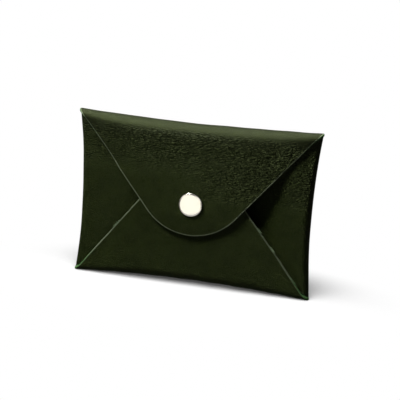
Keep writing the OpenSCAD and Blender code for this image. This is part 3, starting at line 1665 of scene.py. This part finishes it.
@dataclass
class Studio:
    """Floor, lights, surroundings and camera."""

    target: Triple = (2.28, 1.3, 37.0)
    distance: float = 455.6
    yaw: float = 12.0
    elevation: float = 15.0
    roll: float = 3.77
    lens: float = 99.0
    sensor: float = 36.0
    clip: Pair = (0.01, 20.0)
    floor_half: float = 6000.0
    floor_fade: Pair = (58.0, 100.0)
    glow: float = 0.035
    glow_colour: Triple = (1.0, 0.99, 0.97)
    backdrop: Triple = (1.0, 1.0, 1.0)

    def camera(self) -> None:
        """Sets the camera: round the target by yaw and elevation, rolled a little."""
        yaw, rise, roll = (math.radians(v) for v in (self.yaw, self.elevation, self.roll))
        level = math.cos(rise)
        back = Vector((math.sin(yaw) * level, -math.cos(yaw) * level, math.sin(rise)))
        right = (-back).cross(Vector((0.0, 0.0, 1.0))).normalized()
        up = right.cross(-back)
        across = right * math.cos(roll) + up * math.sin(roll)
        upward = up * math.cos(roll) - right * math.sin(roll)
        data = bpy.data.cameras.new("camera")
        data.lens = self.lens
        data.sensor_width = self.sensor
        data.clip_start, data.clip_end = self.clip
        obj = new_object("camera", data)
        turn = Matrix((across, upward, back)).transposed().to_4x4()
        turn.translation = (Vector(self.target) + back * self.distance) * MM
        obj.matrix_world = turn
        bpy.context.scene.camera = obj

    def light(
        self, name: str, place: Triple, aim: Triple, size: Pair, power: float
    ) -> Obj:
        """Adds a soft rectangular light, placed and aimed in millimetres.

        Args:
            name: Name of the light.
            place: Where it stands.
            aim: What it points at.
            size: Its width and height.
            power: Its power, in watts.

        Returns:
            The light.
        """
        data = bpy.data.lights.new(name, "AREA")
        data.shape = "RECTANGLE"
        data.size, data.size_y = size[0] * MM, size[1] * MM
        data.energy = power
        obj = new_object(name, data)
        obj.location = Vector(place) * MM
        obj.rotation_mode = "QUATERNION"
        look = Vector(aim) - Vector(place)
        obj.rotation_quaternion = look.to_track_quat("-Z", "Y")
        return obj

    def only(self, lights: list[Obj], name: str, receivers: list[Obj]) -> None:
        """Keeps lights to the objects that they are for.

        Args:
            lights: The lights.
            name: Name of the group of receivers.
            receivers: What they light.
        """
        group = bpy.data.collections.new(name)
        for obj in receivers:
            group.objects.link(obj)
        for light in lights:
            light.light_linking.receiver_collection = group

    def floor(self) -> Obj:
        """A wide plain floor that the holder stands on.

        Returns:
            The floor.
        """
        corners = np.array([(-1, -1, 0), (1, -1, 0), (1, 1, 0), (-1, 1, 0)])
        mesh = new_mesh("floor", corners * self.floor_half, [(0, 1, 2, 3)])
        obj = new_object("floor", mesh)
        s = Shader("pale_floor")
        s.set(Base_Color=(0.92, 0.92, 0.92), Roughness=0.95, Specular_IOR_Level=0.0)
        x, y, _ = s.parts(s.object_mm())
        deep = s.times(y, 2.0)
        squares = s.math("ADD", s.times(x, x), s.times(deep, deep))
        far = s.ramp(s.math("SQRT", squares), *self.floor_fade)
        white = s.result("ShaderNodeEmission", {})
        values = {0: far, 1: s.surface.outputs["BSDF"], 2: white}
        s.link(s.result("ShaderNodeMixShader", values), s.output.inputs["Surface"])
        obj.visible_glossy = obj.visible_diffuse = obj.visible_shadow = False
        obj.data.materials.append(s.material)
        obj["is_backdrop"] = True
        return obj

    def surroundings(self) -> None:
        """A white backdrop to look at, which lights the holder only softly."""
        world = bpy.data.worlds.new("surroundings")
        bpy.context.scene.world = world
        world.use_nodes = True
        nodes, links = world.node_tree.nodes, world.node_tree.links
        nodes.clear()
        out = nodes.new("ShaderNodeOutputWorld")
        mix = nodes.new("ShaderNodeMixShader")
        path = nodes.new("ShaderNodeLightPath")
        links.new(path.outputs["Is Camera Ray"], mix.inputs[0])
        links.new(mix.outputs[0], out.inputs["Surface"])
        skies = ((self.glow, self.glow_colour), (1.0, self.backdrop))
        for number, (strength, colour) in enumerate(skies, start=1):
            sky = nodes.new("ShaderNodeBackground")
            sky.inputs["Strength"].default_value = strength
            sky.inputs["Color"].default_value = (*colour, 1.0)
            links.new(sky.outputs[0], mix.inputs[number])

    def build(self, metal: list[Obj]) -> None:
        """Makes the whole studio.

        Args:
            metal: The pieces that the bright card lights.
        """
        self.camera()
        floor = self.floor()
        self.surroundings()
        card = self.light("card", (-60, -350, -30), (0, -7, 36), (620, 500), 1.25)
        card.data.color = (1.0, 0.985, 0.90)
        overhead = self.light("overhead", (-60, 130, 600), (0, 0, 30), (600, 240), 3.8)
        key = self.light("key", (-250, -210, 480), (0, 0, 35), (130, 130), 3.2)
        wash = self.light("floor_wash", (-60, -300, 500), (0, 0, 0), (700, 560), 5.0)
        low = self.light("floor_low", (0, -520, 210), (0, 0, 0), (900, 380), 2.2)
        bounce = self.light("bounce", (0, -90, -130), (0, 0, 6), (300, 110), 0.05)
        self.only([card], "metal_only", metal)
        self.only([wash, low], "floor_only", [floor])
        self.only([overhead, key, bounce], "holder_only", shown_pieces())
        view = bpy.context.scene.view_settings
        view.view_transform = "Standard"
        view.look = "None"


@dataclass
class CardHolder:
    """The whole holder, with its sizes taken from the frame."""

    leather: Leather = field(default_factory=Leather)

    def pillow(self) -> Pillow:
        """The holder's shape, from the boxes of its nodes.

        Returns:
            The shape.
        """
        low, high = (np.array(corner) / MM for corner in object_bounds())
        half = round(float(high[2] - low[2]) / 2.0, 1)
        cap_low, cap_high = box_mm("snap_cap")
        return Pillow(
            half_width=float(box_mm("right_flap")[1][0]),
            half_height=half,
            middle_z=half,
            back_y=float(box_mm("back_panel")[1][1]),
            thickness=LEATHER_MM,
            snap_z=float(cap_low[2] + cap_high[2]) / 2.0,
            top_y=float(box_mm("top_flap")[0][1]),
            bottom_y=float(box_mm("bottom_flap")[0][1]),
            left_y=float(box_mm("left_flap")[0][1]),
            right_y=float(box_mm("right_flap")[0][1]),
        )

    def build(self) -> list[Obj]:
        """Makes every piece of the holder, and returns the metal ones.

        Returns:
            The metal pieces.
        """
        self.leather.build()
        shape = self.pillow()
        tongue = Tongue(47.7, 44.0, 24.0)
        top = TopFlap(shape, Side.TOP, tongue, seed=3, lap=8.0, edge_show=1.0)
        top.build(self.leather)
        BackPanel(shape, top.seam_line()).build(self.leather)
        others = (
            (Side.BOTTOM, Tongue(47.8, 46.4, 24.0), "bottom_flap", 5),
            (Side.LEFT, Tongue(32.0, 54.0, 8.0), "left_flap", 7),
            (Side.RIGHT, Tongue(32.0, 54.0, 8.0), "right_flap", 11),
        )
        for side, tongue, node, seed in others:
            flap = Flap(shape, side, tongue, seed=seed, lap=shape.lap)
            obj = flap.whole(f"{node}_leather")
            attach(obj, "pouch")
            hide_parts(node)
            self.leather.dress(obj)
            if side is Side.BOTTOM:
                fibres = EdgeFinish("loose_fibres", (0.34, 0.44, 0.27), (0.16, 0.27, 0.12))
                Fray(flap).build(fibres.build())
        return Snap(shape.snap_z).build(NickelFinish())


def main() -> None:
    """Builds the holder and its studio."""
    logging.basicConfig(level=logging.INFO, format="%(message)s")
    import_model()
    metal = CardHolder().build()
    Studio().build(metal)


if __name__ == "__main__":
    main()
